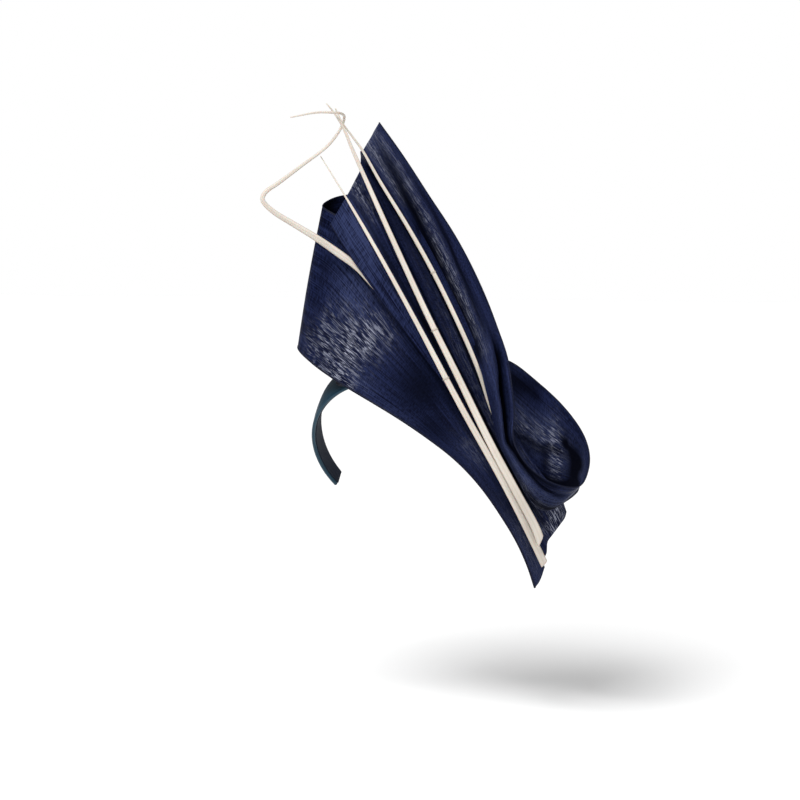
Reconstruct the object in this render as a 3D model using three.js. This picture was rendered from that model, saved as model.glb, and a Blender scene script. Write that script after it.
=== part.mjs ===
// Fascinator headpiece: strips of silk abaca cloth and four stripped quills on a covered headband.
//
// Millimetres, +Z up as worn, -Y the way the wearer faces, +X the wearer's left.
// The origin is the middle of the headband's inner face at its crown, where it rests on the head.
import * as THREE from "three";

// ---------------------------------------------------------------- driving dimensions
const BAND_TILT = THREE.MathUtils.degToRad(40);     // the arch leans forward at the crown
const BAND_HALF_WIDTH = 75;                         // inner, at the widest point
const BAND_DROP = 88;                               // crown to the widest point
const BAND_SWEEP = THREE.MathUtils.degToRad(118);   // half of the arch, crown to tip
const BAND_STEPS = 41;                              // odd, so that a flat facet sits at the crown
const STRAP_CROWN = 28;                             // strap width at the crown
const STRAP_TIP = 15;                               // strap width at the tips
const FIT_GAP = 0.3;                                // between pieces that touch
const LINING_THICK = 0.8;
const CORE_THICK = 1.6;
const COVER_THICK = 0.9;
const COVER_LIP = 1.1;                              // how far the cover reaches past the core's edge

const BASE_SWEEP = THREE.MathUtils.degToRad(33);    // half of the base pad, along the arch
const BASE_FRONT = 18;                              // how far the pad reaches forward of the arch
const BASE_BACK = 24;
const BASE_TIP = 4;                                 // half width at the pad's rounded ends
const BASE_THICK = 2.4;
const BASE_COVER_THICK = 0.7;

const FACING_TURN = THREE.MathUtils.degToRad(15);   // the trimming faces the wearer's front left
const FACING_TIP = THREE.MathUtils.degToRad(5);     // and a little upwards
const CLOTH_THICK = 1.0;
const HEM_RADIUS = 0.9;
const HEM_SIDES = 6;
const QUILL_SIDES = 8;
const QUILL_STEPS = 34;
const THREAD_RADIUS = 0.4;

// How finely each piece is divided: steps along it, and columns across it.
const BASE_STEPS = 14;
const WRAP_STEPS = 44;
const FAN_STEPS = 26;
const COLUMNS_PER_PLEAT = 3;
const SWEEP_STEPS = 50;
const STRIP_COLUMNS = 6;

// Finishes
const ABACA = { color: 0x161c40, roughness: 0.45 };
const HEM = { color: 0x0e1330, roughness: 0.6 };
const THREAD = { color: 0xd8ccb8, roughness: 0.6 };
const SATIN = { color: 0x1b3a52, roughness: 0.4 };
const LINING = { color: 0x0d1526, roughness: 0.85 };
const CORE = { color: 0x1c1c20, roughness: 0.5 };
const BUCKRAM = { color: 0x2a2c34, roughness: 0.9 };
const SHAFT = { color: 0xe6dcc6, roughness: 0.55 };

// ---------------------------------------------------------------- solids from rings and grids
function ringSolid(rings) {
  // Joins rings of points into one closed solid, with a flat cap on each end ring.
  const sides = rings[0].length;
  const positions = rings.flat().flatMap((point) => [point.x, point.y, point.z]);
  const faces = [];
  for (let ring = 0; ring < rings.length - 1; ring += 1) {
    for (let side = 0; side < sides; side += 1) {
      const a = ring * sides + side;
      const b = ring * sides + (side + 1) % sides;
      faces.push(a, b, a + sides);
      faces.push(b, b + sides, a + sides);
    }
  }
  const last = (rings.length - 1) * sides;
  for (const [a, b, c] of capTriangles(rings[0])) {
    faces.push(c, b, a);
  }
  for (const [a, b, c] of capTriangles(rings.at(-1))) {
    faces.push(last + a, last + b, last + c);
  }
  return outwardGeometry(positions, faces);
}

function capTriangles(ring) {
  // Triangulates a flat ring in its own plane, in the ring's own order.
  const middle = new THREE.Vector3();
  ring.forEach((point) => middle.addScaledVector(point, 1 / ring.length));
  const normal = new THREE.Vector3();
  ring.forEach((point, index) => {
    const next = ring[(index + 1) % ring.length];
    normal.add(point.clone().sub(middle).cross(next.clone().sub(middle)));
  });
  normal.normalize();
  const first = ring[0].clone().sub(middle).projectOnPlane(normal).normalize();
  const second = normal.clone().cross(first);
  const flat = ring.map((point) => {
    const arm = point.clone().sub(middle);
    return new THREE.Vector2(arm.dot(first), arm.dot(second));
  });
  return THREE.ShapeUtils.triangulateShape(flat, []);
}

function outwardGeometry(positions, faces) {
  // Builds the geometry and turns every face over if the solid came out inside out.
  let volume = 0;
  const corner = (index) => new THREE.Vector3().fromArray(positions, index * 3);
  for (let i = 0; i < faces.length; i += 3) {
    volume += corner(faces[i]).dot(corner(faces[i + 1]).cross(corner(faces[i + 2])));
  }
  const ordered = volume > 0 ? faces : faces.toReversed();
  const geometry = new THREE.BufferGeometry();
  geometry.setAttribute("position", new THREE.Float32BufferAttribute(positions, 3));
  geometry.setIndex(ordered);
  geometry.computeVertexNormals();
  return geometry;
}

function gridNormal(grid, row, column) {
  const rowAfter = grid[Math.min(row + 1, grid.length - 1)][column];
  const rowBefore = grid[Math.max(row - 1, 0)][column];
  const columnAfter = grid[row][Math.min(column + 1, grid[row].length - 1)];
  const columnBefore = grid[row][Math.max(column - 1, 0)];
  const along = rowAfter.clone().sub(rowBefore);
  const across = columnAfter.clone().sub(columnBefore);
  return along.cross(across).normalize();
}

function clothSolid(grid) {
  // Gives a grid of points the cloth's thickness: two skins and a rim, one closed solid.
  const rows = grid.length;
  const columns = grid[0].length;
  const skins = [1, -1].map((side) => grid.map((line, row) => line.map((point, column) => (
    point.clone().addScaledVector(gridNormal(grid, row, column), side * CLOTH_THICK / 2)
  ))));
  const positions = skins.flat(2).flatMap((point) => [point.x, point.y, point.z]);
  const at = (skin, row, column) => (skin * rows + row) * columns + column;
  const below = rows * columns;
  const faces = [];
  for (let row = 0; row < rows - 1; row += 1) {
    for (let column = 0; column < columns - 1; column += 1) {
      const a = at(0, row, column);
      const b = at(0, row, column + 1);
      const c = at(0, row + 1, column + 1);
      const d = at(0, row + 1, column);
      faces.push(a, d, b, b, d, c);
      faces.push(a + below, b + below, d + below, b + below, c + below, d + below);
    }
  }
  const rim = [];
  for (let column = 0; column < columns - 1; column += 1) {
    rim.push([0, column]);
  }
  for (let row = 0; row < rows - 1; row += 1) {
    rim.push([row, columns - 1]);
  }
  for (let column = columns - 1; column > 0; column -= 1) {
    rim.push([rows - 1, column]);
  }
  for (let row = rows - 1; row > 0; row -= 1) {
    rim.push([row, 0]);
  }
  rim.forEach(([row, column], index) => {
    const [nextRow, nextColumn] = rim[(index + 1) % rim.length];
    const [a, b] = [at(0, row, column), at(0, nextRow, nextColumn)];
    const [c, d] = [at(1, row, column), at(1, nextRow, nextColumn)];
    faces.push(a, b, c, b, d, c);
  });
  return outwardGeometry(positions, faces);
}

// ---------------------------------------------------------------- curves and grids
function smoothLine(points) {
  const knots = points.map((point) => new THREE.Vector3(...point));
  return new THREE.CatmullRomCurve3(knots, false, "centripetal");
}

function stripGrid(edgeA, edgeB, steps) {
  // A strip of cloth, straight across between two matching edges.
  const lineA = smoothLine(edgeA);
  const lineB = smoothLine(edgeB);
  const grid = [];
  for (let row = 0; row <= steps; row += 1) {
    const a = lineA.getPoint(row / steps);
    const b = lineB.getPoint(row / steps);
    const line = [];
    for (let column = 0; column <= STRIP_COLUMNS; column += 1) {
      line.push(a.clone().lerp(b, column / STRIP_COLUMNS));
    }
    grid.push(line);
  }
  return grid;
}

function pleatGrid(ribs, steps) {
  // Cloth through a fan of ribs: smooth along the ribs, smooth from rib to rib.
  const lines = ribs.map(smoothLine);
  const columns = COLUMNS_PER_PLEAT * (ribs.length - 1);
  const grid = [];
  for (let row = 0; row <= steps; row += 1) {
    const knots = lines.map((line) => line.getPoint(row / steps));
    const section = new THREE.CatmullRomCurve3(knots, false, "centripetal");
    grid.push(Array.from({ length: columns + 1 }, (_, i) => section.getPoint(i / columns)));
  }
  return grid;
}

function tubeSolid(centres, radii, sides) {
  // A round rod through a list of centres, its radius given at each; frames turn as little as they can.
  let normal = null;
  const rings = centres.map((centre, index) => {
    const before = centres[Math.max(index - 1, 0)];
    const after = centres[Math.min(index + 1, centres.length - 1)];
    const along = after.clone().sub(before).normalize();
    const seed = normal ?? new THREE.Vector3(0.3, 0.2, 1);
    normal = seed.clone().projectOnPlane(along).normalize();
    const side = along.clone().cross(normal);
    return Array.from({ length: sides }, (_, i) => {
      const angle = 2 * Math.PI * i / sides;
      return centre.clone()
        .addScaledVector(normal, radii[index] * Math.cos(angle))
        .addScaledVector(side, radii[index] * Math.sin(angle));
    });
  });
  return ringSolid(rings);
}

function hemSolid(grid, pick) {
  // A rolled hem just outside one edge of a cloth grid; pick gives the edge point and its inner neighbour.
  const offset = HEM_RADIUS + 2 * FIT_GAP;
  const edges = grid.map((line) => pick(line)[0]);
  const centres = grid.map((line, row) => {
    const [edge, inner] = pick(line);
    const before = edges[Math.max(row - 1, 0)];
    const after = edges[Math.min(row + 1, edges.length - 1)];
    const along = after.clone().sub(before).normalize();
    const outward = edge.clone().sub(inner).projectOnPlane(along).normalize();
    return edge.clone().addScaledVector(outward, offset);
  });
  return tubeSolid(centres, centres.map(() => HEM_RADIUS), HEM_SIDES);
}

const lowEdge = (line) => [line[0], line[1]];
const highEdge = (line) => [line.at(-1), line.at(-2)];

function addPiece(group, name, geometry, finish) {
  const material = new THREE.MeshStandardMaterial({ ...finish, metalness: 0 });
  const piece = new THREE.Mesh(geometry, material);
  piece.name = name;
  group.add(piece);
  return piece;
}

// ---------------------------------------------------------------- headband and base
function archPoint(angle, side, height) {
  // A point over the arch: angle from the crown, side along the strap's width, height off the inner face.
  const halfStep = BAND_SWEEP / BAND_STEPS;
  const normal = new THREE.Vector3(Math.sin(angle) / BAND_HALF_WIDTH, 0, Math.cos(angle) / BAND_DROP);
  normal.normalize();
  return new THREE.Vector3(
    BAND_HALF_WIDTH * Math.sin(angle) + height * normal.x,
    side,
    BAND_DROP * (Math.cos(angle) - Math.cos(halfStep)) + height * normal.z,
  );
}

function strapHalfWidth(angle) {
  const share = Math.abs(angle) / BAND_SWEEP;
  return THREE.MathUtils.lerp(STRAP_CROWN, STRAP_TIP, share ** 1.5) / 2;
}

function archSolid(sweep, steps, section) {
  // Sweeps section(angle), a list of [side, height] points, along the arch.
  const rings = [];
  for (let step = 0; step <= steps; step += 1) {
    const angle = sweep * (2 * step / steps - 1);
    rings.push(section(angle).map(([side, height]) => archPoint(angle, side, height)));
  }
  return ringSolid(rings);
}

function slab(halfWidth, low, high) {
  return [[-halfWidth, low], [-halfWidth, high], [halfWidth, high], [halfWidth, low]];
}

function channel(halfWidth, low, high, thick) {
  // A C section, open towards the head.
  const inner = halfWidth - thick;
  const roof = high - thick;
  return [
    [-halfWidth, low], [-halfWidth, high], [halfWidth, high], [halfWidth, low],
    [inner, low], [inner, roof], [-inner, roof], [-inner, low],
  ];
}

function padSection(angle, low, high) {
  // The base pad is an oval that reaches further back than forward.
  const share = Math.sqrt(Math.max(1 - (angle / BASE_SWEEP) ** 2, 0));
  const front = -THREE.MathUtils.lerp(BASE_TIP, BASE_FRONT, share);
  const back = THREE.MathUtils.lerp(BASE_TIP, BASE_BACK, share);
  return [[front, low], [front, high], [back, high], [back, low]];
}

function addHeadband(group) {
  const coreLow = LINING_THICK + FIT_GAP;
  const coreHigh = coreLow + CORE_THICK;
  const coverHigh = coreHigh + FIT_GAP + COVER_THICK;
  const baseLow = coverHigh + FIT_GAP;
  const baseHigh = baseLow + BASE_THICK;
  addPiece(group, "headband_lining", archSolid(BAND_SWEEP, BAND_STEPS, (angle) => (
    slab(strapHalfWidth(angle) - COVER_THICK, 0, LINING_THICK)
  )), LINING);
  addPiece(group, "headband_core", archSolid(BAND_SWEEP, BAND_STEPS, (angle) => (
    slab(strapHalfWidth(angle) - COVER_THICK, coreLow, coreHigh)
  )), CORE);
  addPiece(group, "headband_cover", archSolid(BAND_SWEEP, BAND_STEPS, (angle) => (
    channel(strapHalfWidth(angle) + COVER_LIP, LINING_THICK, coverHigh, COVER_THICK)
  )), SATIN);
  addPiece(group, "base_pad", archSolid(BASE_SWEEP, BASE_STEPS, (angle) => (
    padSection(angle, baseLow, baseHigh)
  )), BUCKRAM);
  addPiece(group, "base_cover", archSolid(BASE_SWEEP, BASE_STEPS, (angle) => (
    padSection(angle, baseHigh + FIT_GAP, baseHigh + FIT_GAP + BASE_COVER_THICK)
  )), ABACA);
}

// ---------------------------------------------------------------- cloth trimming
// Points below are [across, up, out] in the trimming's own facing frame.

// The front wrap: from the gathered tail, up across the brow, round the left roll and back behind.
const WRAP_LOW = [
  [120, -177, 0], [114, -159, 5], [105, -139, 11], [91, -116, 19], [74, -92, 26], [54, -71, 31],
  [32, -54, 32], [10, -39, 28], [-13, -25, 18], [-35, -12, 7], [-56, 2, -2], [-67, 11, -7],
  [-73, 17, -12], [-75, 21, -18], [-72, 23, -24], [-58, 24, -27], [-36, 24, -24], [-3, 25, -19],
  [31, 23, -17], [58, 17, -10], [79, 1, 3],
];
const WRAP_HIGH = [
  [128, -160, 3], [124, -147, 8], [116, -128, 15], [107, -110, 22], [94, -86, 29], [80, -59, 32],
  [62, -27, 33], [42, 8, 29], [22, 40, 23], [0, 74, 16], [-21, 106, 10], [-39, 126, 4],
  [-50, 133, -2], [-54, 137, -10], [-52, 141, -19], [-43, 146, -25], [-25, 148, -25], [6, 137, -22],
  [37, 110, -18], [62, 72, -10], [80, 37, 3],
];

// The pleated fan: its free left edge, then valley and ridge lines in turn, top to bottom.
const FAN_RIBS = [
  [[-47, 120, 10], [-33, 97, 20], [-11.5, 66, 28], [11, 36, 32], [29, 12, 35],
   [48, -14, 38], [72, -55, 38], [94, -94, 31], [113, -131, 18], [125, -154, 9]],
  [[-34, 142, 13], [-18, 116, 21], [-1, 86, 28], [17, 53, 33], [35, 21, 36],
   [52, -13, 40], [73, -56, 40], [96, -96, 33], [115, -132, 20], [126, -153, 11]],
  [[-29, 152, 8], [-12, 126, 15], [5, 93, 22], [23, 59, 27], [40, 24, 32],
   [58, -13, 37], [79, -55, 38], [100, -95, 32], [118, -129, 19], [129, -148, 10]],
  [[-23, 163, 12], [-6, 130, 18], [11, 93, 24], [28, 58, 28.5], [44, 23, 33.5],
   [63, -14, 38.5], [83, -56, 40.5], [103, -95, 34.5], [121, -126, 21], [130, -138, 12]],
  [[-22, 177, -4], [-2, 134, 2], [18, 95, 8], [37, 58, 13], [54, 21, 18],
   [71, -16, 22], [90, -55, 27], [112, -93, 29], [127, -118, 19], [134, -131, 11]],
  [[-22, 181, 3], [3, 140, 7], [28, 97, 13], [48, 57, 17.5], [63, 23, 20.5],
   [78, -15, 21.5], [97, -52, 24], [122, -88, 26], [137, -103, 17], [144, -119, 10]],
];

// The sweep and loop: the right panel, gathered at its foot, turned out and round into the loop.
const SWEEP_INNER = [
  [-20, 182, 3], [-6, 158, 5.5], [12, 129, 9], [30, 100, 12], [46, 70, 16], [60, 41, 19],
  [71, 17, 21.5], [76, -4, 31], [80, -21, 34], [84, -39, 37], [88, -57, 38.5], [95, -70, 39],
  [105, -88, 38.5], [117, -108, 34], [128, -112, 28], [139, -108, 21], [150, -102, 12], [156, -97, 3],
  [154, -97, -7], [147, -99, -16], [136, -97, -22], [120, -88, -24], [101, -66, -14], [83, -36, 9],
];
const SWEEP_OUTER = [
  [-7, 204, 4], [13, 176, 6], [34, 143, 8], [52, 116, 9], [67, 89, 10], [81, 58, 12],
  [89, 36, 15], [97, 12, 19], [100, -11, 25], [102, -33, 31], [100, -53, 36], [106, -67, 40],
  [117, -80, 42], [131, -89, 40], [146, -93, 34], [156, -92, 26], [162, -83, 16], [165, -69, 7],
  [161, -52, -1], [151, -36, -7], [139, -22, -11], [121, -6, -13], [103, 8, -8], [84, 14, 7],
];

function addCloth(group) {
  const wrap = stripGrid(WRAP_LOW, WRAP_HIGH, WRAP_STEPS);
  addPiece(group, "front_wrap", clothSolid(wrap), ABACA);
  addPiece(group, "front_wrap_lower_hem", hemSolid(wrap, lowEdge), HEM);
  addPiece(group, "front_wrap_upper_hem", hemSolid(wrap, highEdge), HEM);
  const fan = pleatGrid(FAN_RIBS, FAN_STEPS);
  addPiece(group, "pleated_fan", clothSolid(fan), ABACA);
  const sweep = stripGrid(SWEEP_INNER, SWEEP_OUTER, SWEEP_STEPS);
  addPiece(group, "sweep_loop", clothSolid(sweep), ABACA);
  addPiece(group, "sweep_loop_outer_hem", hemSolid(sweep, highEdge), HEM);
}

// ---------------------------------------------------------------- quills
// Each quill is a centreline from tip to foot, and its width at shares of its length from the tip.
const QUILLS = {
  quill_long_left: {
    line: [[-55, 176, 8], [-35, 143, 18], [-8, 96, 30], [22.5, 40, 39], [58.8, -28.9, 45],
      [95.4, -93.8, 37.5], [117.2, -136, 22.5], [127, -156, 14]],
    widths: [[0, 0.8], [0.1, 1.4], [0.13, 2.1], [0.2, 2.9], [0.33, 3.4], [0.42, 3.7],
      [0.5, 4.4], [0.7, 5.2], [0.8, 5.8], [1, 6.5]],
  },
  quill_long_centre: {
    line: [[-50, 218, 14.5], [-45, 212, 14], [-37, 200, 13], [-29, 181, 14], [-18, 156, 16.5],
      [5, 104, 26], [31, 47, 34.5], [54, 0, 42], [81.2, -56.2, 45], [102.2, -95.2, 40.5],
      [119, -126, 30.5], [123.2, -136.8, 27]],
    widths: [[0, 1], [0.05, 2], [0.13, 3.1], [0.2, 3.8], [0.35, 4.4], [0.55, 4.9], [0.8, 6.2], [1, 7]],
  },
  quill_long_right: {
    line: [[-43, 215, 8], [-37, 203, 7.5], [-29, 192, 7], [-21, 181, 7], [-7, 156, 9.5],
      [16, 118, 14], [37.5, 79, 19.5], [60.5, 31, 24.5], [73.5, 0, 25], [82, -26, 26], [87, -39, 27]],
    widths: [[0, 1], [0.08, 1.6], [0.25, 2.8], [0.45, 3.5], [0.75, 3.7], [1, 3.3]],
  },
  quill_bent: {
    line: [[-79, 206, 19], [-57, 210, 19], [-44, 210, 18.5], [-39, 210, 15], [-36, 209, 10],
      [-36, 206, 3], [-39, 199, 1], [-47, 187, 6], [-56, 178, 12], [-67, 169, 19], [-87, 153, 26],
      [-99, 144, 27.5], [-101, 139, 28], [-99, 135, 28], [-91, 128, 27], [-76, 119, 24],
      [-56, 107, 21], [-40, 96, 18], [-24, 84, 19.5], [-10, 68, 22.5], [0, 56, 24]],
    widths: [[0, 1], [0.1, 2], [0.35, 2.5], [0.52, 3.5], [0.62, 4.5], [0.8, 6.2], [0.9, 5.8], [1, 3.6]],
  },
};

// Where each quill is tacked down, as a share of its length from the tip.
const TACKS = {
  quill_tack_left: ["quill_long_left", 0.55],
  quill_tack_centre: ["quill_long_centre", 0.52],
  quill_tack_right: ["quill_long_right", 0.55],
  quill_tack_bent: ["quill_bent", 0.985],
};

function quillWidth(widths, share) {
  const next = Math.max(1, widths.findIndex(([place]) => place >= share));
  const [place0, width0] = widths[next - 1];
  const [place1, width1] = widths[next];
  return THREE.MathUtils.mapLinear(share, place0, place1, width0, width1);
}

function addQuills(group) {
  for (const [name, quill] of Object.entries(QUILLS)) {
    const line = smoothLine(quill.line);
    const shares = Array.from({ length: QUILL_STEPS + 1 }, (_, i) => i / QUILL_STEPS);
    const centres = shares.map((share) => line.getPointAt(share));
    const radii = shares.map((share) => quillWidth(quill.widths, share) / 2);
    addPiece(group, name, tubeSolid(centres, radii, QUILL_SIDES), SHAFT);
  }
  for (const [name, [quillName, share]] of Object.entries(TACKS)) {
    const quill = QUILLS[quillName];
    const line = smoothLine(quill.line);
    const ringRadius = quillWidth(quill.widths, share) / 2 + THREAD_RADIUS + FIT_GAP;
    const ring = new THREE.TorusGeometry(ringRadius, THREAD_RADIUS, 5, 12);
    const tack = addPiece(group, name, ring, THREAD);
    tack.position.copy(line.getPointAt(share));
    tack.quaternion.setFromUnitVectors(new THREE.Vector3(0, 0, 1), line.getTangentAt(share));
  }
}

// ---------------------------------------------------------------- the whole headpiece
const fascinator = new THREE.Group();

const headband = new THREE.Group();
headband.rotation.x = BAND_TILT;
addHeadband(headband);
fascinator.add(headband);

const trimming = new THREE.Group();
trimming.rotation.set(Math.PI / 2 - FACING_TIP, 0, FACING_TURN, "ZYX");
addCloth(trimming);
addQuills(trimming);
fascinator.add(trimming);

export default fascinator;
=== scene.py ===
import math

import bpy
import numpy as np
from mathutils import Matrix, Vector


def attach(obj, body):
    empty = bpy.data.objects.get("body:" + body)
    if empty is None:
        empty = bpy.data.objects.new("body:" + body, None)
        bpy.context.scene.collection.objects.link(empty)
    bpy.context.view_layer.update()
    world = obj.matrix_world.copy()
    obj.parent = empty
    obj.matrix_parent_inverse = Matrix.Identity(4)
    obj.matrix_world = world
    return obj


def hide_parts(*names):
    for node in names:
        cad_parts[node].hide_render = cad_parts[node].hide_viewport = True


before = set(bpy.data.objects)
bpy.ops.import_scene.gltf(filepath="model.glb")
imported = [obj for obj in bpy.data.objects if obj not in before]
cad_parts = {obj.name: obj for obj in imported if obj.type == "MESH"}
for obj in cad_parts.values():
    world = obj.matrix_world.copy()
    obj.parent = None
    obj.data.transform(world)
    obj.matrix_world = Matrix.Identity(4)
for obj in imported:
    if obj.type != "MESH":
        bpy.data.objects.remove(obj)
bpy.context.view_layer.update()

MM = 0.001

BAND_TILT = math.radians(40)
BAND_HALF_WIDTH = 75
BAND_DROP = 88
BAND_SWEEP = math.radians(118)
STRAP_CROWN = 28
STRAP_TIP = 15
BASE_SWEEP = math.radians(33)
RIBBON_INSET = 0.9
RIBBON_FACES = (0.0, 0.8)  # lower and upper face above the arch
RIBBON_CORNER = 0.25
SATIN_LIP = 1.1
SATIN_FACES = (0.85, 3.9)
SATIN_CORNER = 1.3
SATIN_DOME = 0.5
BASE_TIP = 4
BASE_FRONT = 18
BASE_BACK = 24
BASE_PAD_FACES = (4.2, 6.6)
BASE_COVER_FACES = (6.9, 7.5)
BASE_DOME = 0.5
BASE_COLUMNS = 25
ARCH_STEPS = 181
BASE_STEPS = 61
CORNER_POINTS = 5
SLAB_STEPS = 24

FACING_TURN = math.radians(15)
FACING_TIP = math.radians(5)
CLOTH_THICK = 0.5 * MM
WRAP_WIDTH = 0.12  # metres across each strip that its weave is drawn over
FAN_WIDTH = 0.14
SWEEP_WIDTH = 0.12


# ------------------------------------------------------------------ frames, curves and grids
def facing_axes():
    turn, tip = FACING_TURN, FACING_TIP
    across = np.array([math.cos(turn), math.sin(turn), 0.0])
    out = np.array([math.sin(turn) * math.cos(tip), -math.cos(turn) * math.cos(tip), math.sin(tip)])
    return np.array([across, np.cross(out, across), out])


FACING = facing_axes()


def to_row(points):
    """Facing-frame millimetres to row-frame metres."""
    return np.asarray(points, float) @ FACING * MM


def smooth_line(points, count):
    """A centripetal Catmull-Rom curve through the points, with as many samples for each stretch."""
    p = np.asarray(points, float)
    p = np.vstack([2 * p[0] - p[1], p, 2 * p[-1] - p[-2]])
    place = np.linspace(0, len(points) - 1, count)
    index = np.minimum(place.astype(int), len(points) - 2)
    t = (place - index)[:, None]
    a, b, c, d = (p[index + k] for k in range(4))
    gap0, gap1, gap2 = (
        np.sqrt(np.linalg.norm(after - before, axis=1))[:, None] for before, after in ((a, b), (b, c), (c, d))
    )
    start = ((b - a) / gap0 - (c - a) / (gap0 + gap1) + (c - b) / gap1) * gap1
    end = ((c - b) / gap1 - (d - b) / (gap1 + gap2) + (d - c) / gap2) * gap1
    return (
        (2 * t**3 - 3 * t**2 + 1) * b + (t**3 - 2 * t**2 + t) * start
        + (-2 * t**3 + 3 * t**2) * c + (t**3 - t**2) * end
    )


def relaxed(grid, passes):
    """Evens out a grid along its rows, so that light runs smoothly over it; its ends stay."""
    grid = grid.copy()
    for _ in range(passes):
        grid[1:-1] = 0.25 * grid[:-2] + 0.5 * grid[1:-1] + 0.25 * grid[2:]
    return grid


def even_line(points, count):
    """The same curve with its samples spaced evenly."""
    line = smooth_line(points, 12 * len(points))
    run = np.concatenate([[0], np.cumsum(np.linalg.norm(np.diff(line, axis=0), axis=1))])
    wanted = np.linspace(0, run[-1], count)
    return np.stack([np.interp(wanted, run, line[:, k]) for k in range(3)], axis=1)


def section_grid(lines, columns):
    """Runs a smooth section through matching points of several lines: rows along, columns across."""
    stack = np.stack(lines, axis=1)
    return np.stack([smooth_line(knots, columns) for knots in stack])


def grid_normals(grid):
    """Unit normals, towards the front on the first rows."""
    normal = np.cross(np.gradient(grid, axis=1), np.gradient(grid, axis=0))
    normal /= np.linalg.norm(normal, axis=2, keepdims=True) + 1e-9
    if normal[: len(grid) // 4, :, 2].mean() < 0:
        normal = -normal
    return normal


def along_profile(count, places, values):
    """Smooth values along a strip from a few, given at control rows. The last place is the strip's end."""
    places = np.asarray(places, float)
    values = np.asarray(values, float)
    t = np.linspace(0, places[-1], count)
    index = np.clip(np.searchsorted(places, t) - 1, 0, len(places) - 2)
    share = np.clip((t - places[index]) / (places[index + 1] - places[index]), 0, 1)
    share = share * share * (3 - 2 * share)
    return values[index] + (values[index + 1] - values[index]) * share


def along_lines(grid, lines):
    """Soft bands along a strip: each line is (rows along, shares across, strengths, width in millimetres)."""
    rows, columns = grid.shape[:2]
    span = np.linalg.norm(np.diff(grid, axis=1), axis=2).sum(axis=1)
    across = np.linspace(0, 1, columns)
    bands = []
    for places, shares, strengths, width in lines:
        centre = along_profile(rows, places, shares)
        strength = along_profile(rows, places, strengths)
        gap = (across[None, :] - centre[:, None]) * span[:, None] / width
        bands.append(strength[:, None] * np.exp(-gap * gap))
    return bands


def folded(grid, ridges, valleys):
    """Lifts the cloth into ridges and sinks it into valleys."""
    lift = sum(along_lines(grid, ridges)) - sum(along_lines(grid, valleys))
    return grid + grid_normals(grid) * lift[..., None]


def band_mask(grid, lines, full=1):
    """A soft mask of lines along a strip, 1 where their strengths reach full."""
    return np.clip(sum(along_lines(grid, lines)) / full, 0, 1)


def patch_mask(shape, patches):
    """A soft mask of oval patches: each is (along, across, half length, half width, strength)."""
    t = np.linspace(0, 1, shape[0])[:, None]
    s = np.linspace(0, 1, shape[1])[None, :]
    mask = np.zeros(shape)
    for along, across, length, width, strength in patches:
        far = ((t - along) / length) ** 2 + ((s - across) / width) ** 2
        mask = np.maximum(mask, strength * np.exp(-far))
    return mask


# ------------------------------------------------------------------ meshes
def mesh_object(name, points, faces, uvs=None, smooth=True):
    mesh = bpy.data.meshes.new(name)
    mesh.from_pydata([tuple(p) for p in points], [], faces)
    if uvs is not None:
        layer = mesh.uv_layers.new(name="UVMap")
        index = np.zeros(len(mesh.loops), int)
        mesh.loops.foreach_get("vertex_index", index)
        layer.data.foreach_set("uv", np.asarray(uvs, np.float32)[index].ravel())
    mesh.polygons.foreach_set("use_smooth", [smooth] * len(mesh.polygons))
    mesh.update()
    piece = bpy.data.objects.new(name, mesh)
    bpy.context.scene.collection.objects.link(piece)
    return piece


def add_attribute(piece, name, values):
    attribute = piece.data.attributes.new(name, "FLOAT", "POINT")
    attribute.data.foreach_set("value", np.asarray(values, np.float32).ravel())


def cloth_piece(name, grid, width, masks):
    """A sheet from a grid of facing-frame points. Its UVs are metres along it, and width in all across it."""
    rows, columns = grid.shape[:2]
    points = to_row(grid.reshape(-1, 3))
    index = np.arange(rows * columns).reshape(rows, columns)
    corners = [index[:-1, :-1], index[:-1, 1:], index[1:, 1:], index[1:, :-1]]
    faces = np.stack(corners, axis=-1).reshape(-1, 4)
    corner, right, _, below = points[faces[0]]
    if np.cross(right - corner, below - corner) @ FACING[2] < 0:
        faces = faces[:, ::-1]
    middle = grid[:, columns // 2]
    run = np.concatenate([[0], np.cumsum(np.linalg.norm(np.diff(middle, axis=0), axis=1))]) * MM
    u = np.repeat(run[:, None], columns, axis=1)
    v = np.repeat(np.linspace(0, width, columns)[None, :], rows, axis=0)
    piece = mesh_object(name, points, faces.tolist(), np.stack([u, v], axis=-1).reshape(-1, 2))
    for mask_name, values in masks.items():
        add_attribute(piece, mask_name, values)
    thick = piece.modifiers.new("thickness", "SOLIDIFY")
    thick.thickness = CLOTH_THICK
    thick.offset = 0
    return piece


def tube_rings(centres, normals, sections):
    """Rings of points round a line: sections[i] is a list of (side, height) for ring i."""
    along = np.gradient(centres, axis=0)
    along /= np.linalg.norm(along, axis=1, keepdims=True)
    normals = normals - along * np.sum(normals * along, axis=1, keepdims=True)
    normals /= np.linalg.norm(normals, axis=1, keepdims=True)
    sides = np.cross(along, normals)
    sections = np.asarray(sections, float)
    return (
        centres[:, None] + sides[:, None] * sections[..., :1] + normals[:, None] * sections[..., 1:2]
    )


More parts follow.
